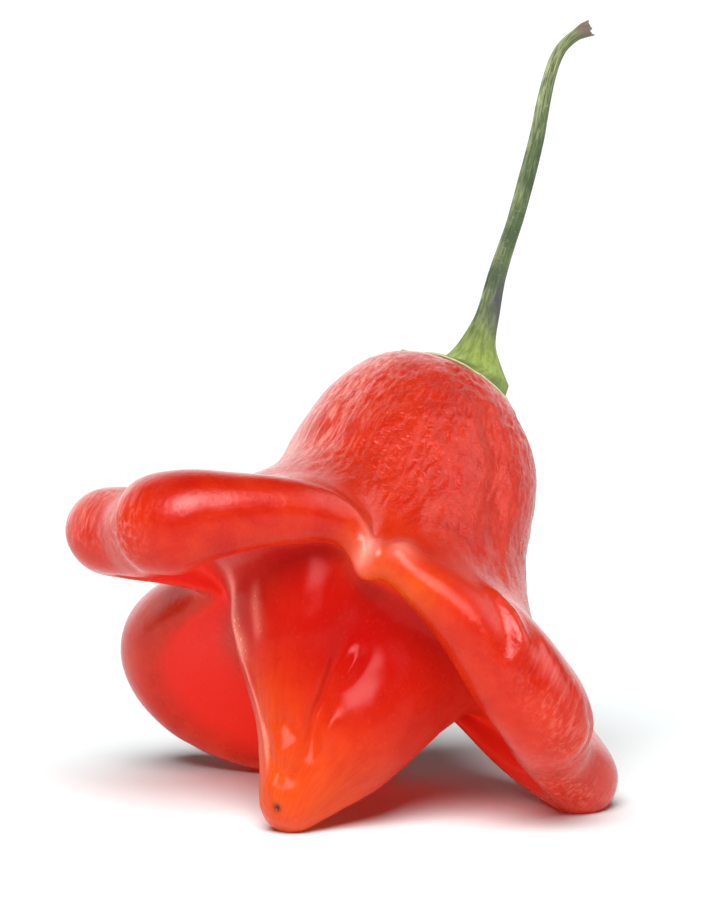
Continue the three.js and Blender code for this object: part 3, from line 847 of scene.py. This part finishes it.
link(tree, bump.outputs["Normal"], shader.inputs["Normal"])
shader.inputs["Subsurface Radius"].default_value = (1.0, 0.18, 0.08)
for name, value in (("Specular IOR Level", 0.2), ("Subsurface Weight", 0.12), ("Subsurface Scale", 0.0025),
                    ("Coat Weight", 0.18), ("Coat Roughness", 0.17), ("Coat IOR", 1.45)):
    shader.inputs[name].default_value = value
fruit.data.materials.append(ripe_skin)
print("ripe_skin", len(tree.nodes), "nodes")

# %% [markdown]
# The stalk is dry green tissue: fibres of dark and pale green run along it, one flank is painted darker
# as shade, a dark purplish patch lies low on it, the skirt is a fresher yellow green with a thin
# straw-coloured edge, and the broken end is brown. As on the skin, each mask brings its colour in over
# those before it, so the last one wins.

# %% Green stalk
LEAF_DARK = (0.016, 0.034, 0.01)
LEAF_MID = (0.05, 0.065, 0.025)
LEAF_PALE = (0.22, 0.25, 0.11)
TIP_GREEN = (0.48, 0.52, 0.25)
FRESH_GREEN = (0.22, 0.28, 0.055)
STRAW = (0.5, 0.47, 0.28)
DRY_BROWN = (0.13, 0.095, 0.075)
DARK_PURPLE = (0.035, 0.03, 0.04)

stalk_skin = bpy.data.materials.new("stalk_green")
stalk_skin.use_nodes = True
tree = stalk_skin.node_tree
shader = tree.nodes["Principled BSDF"]
streaks, _ = place_streaks(tree, streak_scale=1.7, fleck_scale=2400.0)
along_stalk, on_skirt = attribute(tree, "along"), attribute(tree, "skirt")
towards_end = smooth_span(tree, along_stalk, 28.0, 42.0, end=0.95)
fibre_share = times(tree, smooth_span(tree, along_stalk, 4.0, 14.0, 0.6, 0.9), streaks["Streaks"])
dark_fibres = times(tree, fibre_share, maths(tree, "SUBTRACT", 1.0, times(tree, on_skirt, 0.15)))
dark_edge = times(tree, attribute(tree, "edge"), plus(tree, streaks["Mottle"], 0.35), clamp=True)
# the dark purplish patch, mottled
dark_patch_share = plus(tree, times(tree, streaks["Mottle"], 0.5), 0.6)
dark_patch_share = times(tree, attribute(tree, "dark_patch"), dark_patch_share, clamp=True)
cut = mix_colours(tree, streaks["Flecks"], STRAW, LEAF_MID)
# each factor and the colour that it brings in over those before it
colour = LEAF_MID
for factor, over in ((streaks["Mottle"], LEAF_PALE), (towards_end, TIP_GREEN), (on_skirt, FRESH_GREEN),
                     (dark_fibres, LEAF_DARK), (dark_edge, LEAF_DARK),
                     # one flank painted darker, as shade
                     (times(tree, attribute(tree, "flank"), 0.7), LEAF_DARK),
                     (times(tree, streaks["Flecks"], 0.2), TIP_GREEN), (dark_patch_share, DARK_PURPLE),
                     (attribute(tree, "rim"), STRAW), (attribute(tree, "tooth"), DRY_BROWN),
                     (attribute(tree, "dry"), DRY_BROWN), (attribute(tree, "cut"), cut)):
    colour = mix_colours(tree, factor, colour, over)
link(tree, colour, shader.inputs["Base Color"])
link(tree, plus(tree, 0.48, times(tree, streaks["Streaks"], 0.2)), shader.inputs["Roughness"])
bump = new_node(tree, "ShaderNodeBump")
link(tree, 0.6, bump.inputs["Strength"])
link(tree, 0.0002, bump.inputs["Distance"])
link(tree, maths(tree, "SUBTRACT", streaks["Flecks"], streaks["Streaks"]), bump.inputs["Height"])
link(tree, bump.outputs["Normal"], shader.inputs["Normal"])
stalk.data.materials.append(stalk_skin)
print("stalk_green", len(tree.nodes), "nodes")

# %% [markdown]
# The photograph looks slightly down at the pepper with a long lens. The camera stands 700 mm away on the
# line that the posture was measured from, and its lens is worked out from the frame's height in mm.

# %% Camera
PX_PER_MM = 8.8         # of the photograph at the pepper
FRAME_HEIGHT = 924      # in px
SENSOR = 36.0
DISTANCE = 700.0
AIM_RIGHT, AIM_UP = 9.5, 41.6
camera_data = bpy.data.cameras.new("camera")
camera_data.sensor_width = SENSOR
camera_data.lens = SENSOR * DISTANCE / (FRAME_HEIGHT / PX_PER_MM)
camera_data.clip_start = 0.01
camera = bpy.data.objects.new("camera", camera_data)
bpy.context.scene.collection.objects.link(camera)
spot = (FLOOR_SHIFT + AIM_RIGHT * RIGHT + AIM_UP * UP + DISTANCE * TOWARD) * MM
turned = Matrix([RIGHT, UP, TOWARD]).transposed().to_4x4()
camera.matrix_world = Matrix.Translation(Vector(spot)) @ turned
bpy.context.scene.camera = camera
print("lens", round(camera_data.lens, 1), "mm")

# %% [markdown]
# The pepper lies on plain pale paper. A real sheet is curved up behind, but here one large flat square
# is enough, because the camera looks down on it and the frame ends before the square does.

# %% Floor
FLOOR_HALF = 4.0
PAPER = (0.77, 0.81, 0.81)
floor_mesh = bpy.data.meshes.new("floor")
corners = [(-FLOOR_HALF, -FLOOR_HALF, 0), (FLOOR_HALF, -FLOOR_HALF, 0), (FLOOR_HALF, FLOOR_HALF, 0),
           (-FLOOR_HALF, FLOOR_HALF, 0)]
floor_mesh.from_pydata(corners, [], [(0, 1, 2, 3)])
floor = bpy.data.objects.new("floor", floor_mesh)
bpy.context.scene.collection.objects.link(floor)
paper = bpy.data.materials.new("white_paper")
paper.use_nodes = True
paper_shader = paper.node_tree.nodes["Principled BSDF"]
paper_shader.inputs["Roughness"].default_value = 0.95
paper_shader.inputs["Specular IOR Level"].default_value = 0.1
paper_shader.inputs["Base Color"].default_value = (*PAPER, 1)
floor_mesh.materials.append(paper)
print("floor", 2 * FLOOR_HALF, "m square")

# %% [markdown]
# A studio shot on white: one wide soft light high in front, which puts the shadow under and behind the
# pepper, and four faint ones from below that open the undersides and don't touch the floor's top.


# %% Suns
def soft_sun(name, azimuth_deg, elevation_deg, strength, spread):
    """A sun whose light comes from the azimuth (0 = the front, + = right) and elevation given."""
    data = bpy.data.lights.new(name, "SUN")
    data.energy = strength
    data.angle = np.radians(spread)
    lamp = bpy.data.objects.new(name, data)
    a, e = np.radians([azimuth_deg, elevation_deg])
    towards = Vector((np.sin(a) * np.cos(e), -np.cos(a) * np.cos(e), np.sin(e)))
    lamp.rotation_euler = towards.to_track_quat("Z", "Y").to_euler()
    lamp.visible_glossy = False
    bpy.context.scene.collection.objects.link(lamp)
    return lamp


FILL_RISE, FILL_SPREAD = -18, 40
# azimuth and strength of each fill
FILLS = {"left_fill": (-60, 1.85), "front_fill": (5, 0.85), "right_fill": (65, 1.7),
         "back_fill": (180, 1.4)}
soft_sun("key", azimuth_deg=-10, elevation_deg=54, strength=5.1, spread=44)
for name, (azimuth_deg, strength) in FILLS.items():
    lamp = soft_sun(name, azimuth_deg, FILL_RISE, strength, FILL_SPREAD)
    lamp.data.use_shadow = False

# %% [markdown]
# What a glossy skin mirrors matters as much as what lights it. We paint the mirrored room in the world:
# a white sweep behind and five softboxes, each where the photograph's highlights point to. Only mirrored
# rays see it. All other rays meet an even dark grey, which keeps the shadow on the floor deep.


# %% Mirrored room
EDGE_START, EDGE_END = 0.4, 1.6        # a softbox fades between these shares of its half size


def softbox(tree, direction, azimuth_deg, elevation_deg, half_width, half_height, strength):
    """Brightness of a soft-edged rectangle in the world; its half sizes are tangents of angles."""
    a, e = np.radians([azimuth_deg, elevation_deg])
    ahead = (np.sin(a) * np.cos(e), -np.cos(a) * np.cos(e), np.sin(e))
    across = (np.cos(a), np.sin(a), 0.0)
    above = tuple(np.cross(across, ahead))
    parts = []
    for axis in (ahead, across, above):
        dot = new_node(tree, "ShaderNodeVectorMath", operation="DOT_PRODUCT")
        dot.inputs[1].default_value = axis
        link(tree, direction, dot.inputs[0])
        parts.append(dot.outputs["Value"])
    depth = maths(tree, "MAXIMUM", parts[0], 0.001)
    total = strength
    for part, half in ((parts[1], half_width), (parts[2], half_height)):
        off = maths(tree, "ABSOLUTE", maths(tree, "DIVIDE", part, depth))
        total = times(tree, smooth_span(tree, off, half * EDGE_END, half * EDGE_START), total)
    return total


EVEN_LIGHT = 0.07
world = bpy.data.worlds.new("studio")
world.use_nodes = True
tree = world.node_tree
direction = new_node(tree, "ShaderNodeTexCoord").outputs["Generated"]
parts = new_node(tree, "ShaderNodeSeparateXYZ")
link(tree, direction, parts.inputs["Vector"])
# the sweep grows brighter towards the back, which is +Y
room = smooth_span(tree, parts.outputs["Y"], 0.4, 0.95, 0.05, 1.7)
# azimuth, elevation, half width, half height and brightness of each softbox
SOFTBOXES = [(-13, 42, 0.27, 0.28, 20.0), (38, 38, 0.2, 0.22, 2.2), (80, 36, 0.38, 0.5, 4.4),
             (-112, 6, 0.15, 0.5, 1.8), (-138, 27, 0.35, 0.42, 0.85)]
for box in SOFTBOXES:
    room = plus(tree, room, softbox(tree, direction, *box))
glossy = new_node(tree, "ShaderNodeLightPath").outputs["Is Glossy Ray"]
even = times(tree, maths(tree, "SUBTRACT", 1.0, glossy), EVEN_LIGHT)
brightness = plus(tree, even, times(tree, glossy, room))
background = tree.nodes["Background"]
background.inputs["Color"].default_value = (1, 1, 1, 1)
link(tree, brightness, background.inputs["Strength"])
bpy.context.scene.world = world
bpy.context.scene.view_settings.view_transform = "Standard"
print("world", len(tree.nodes), "nodes")
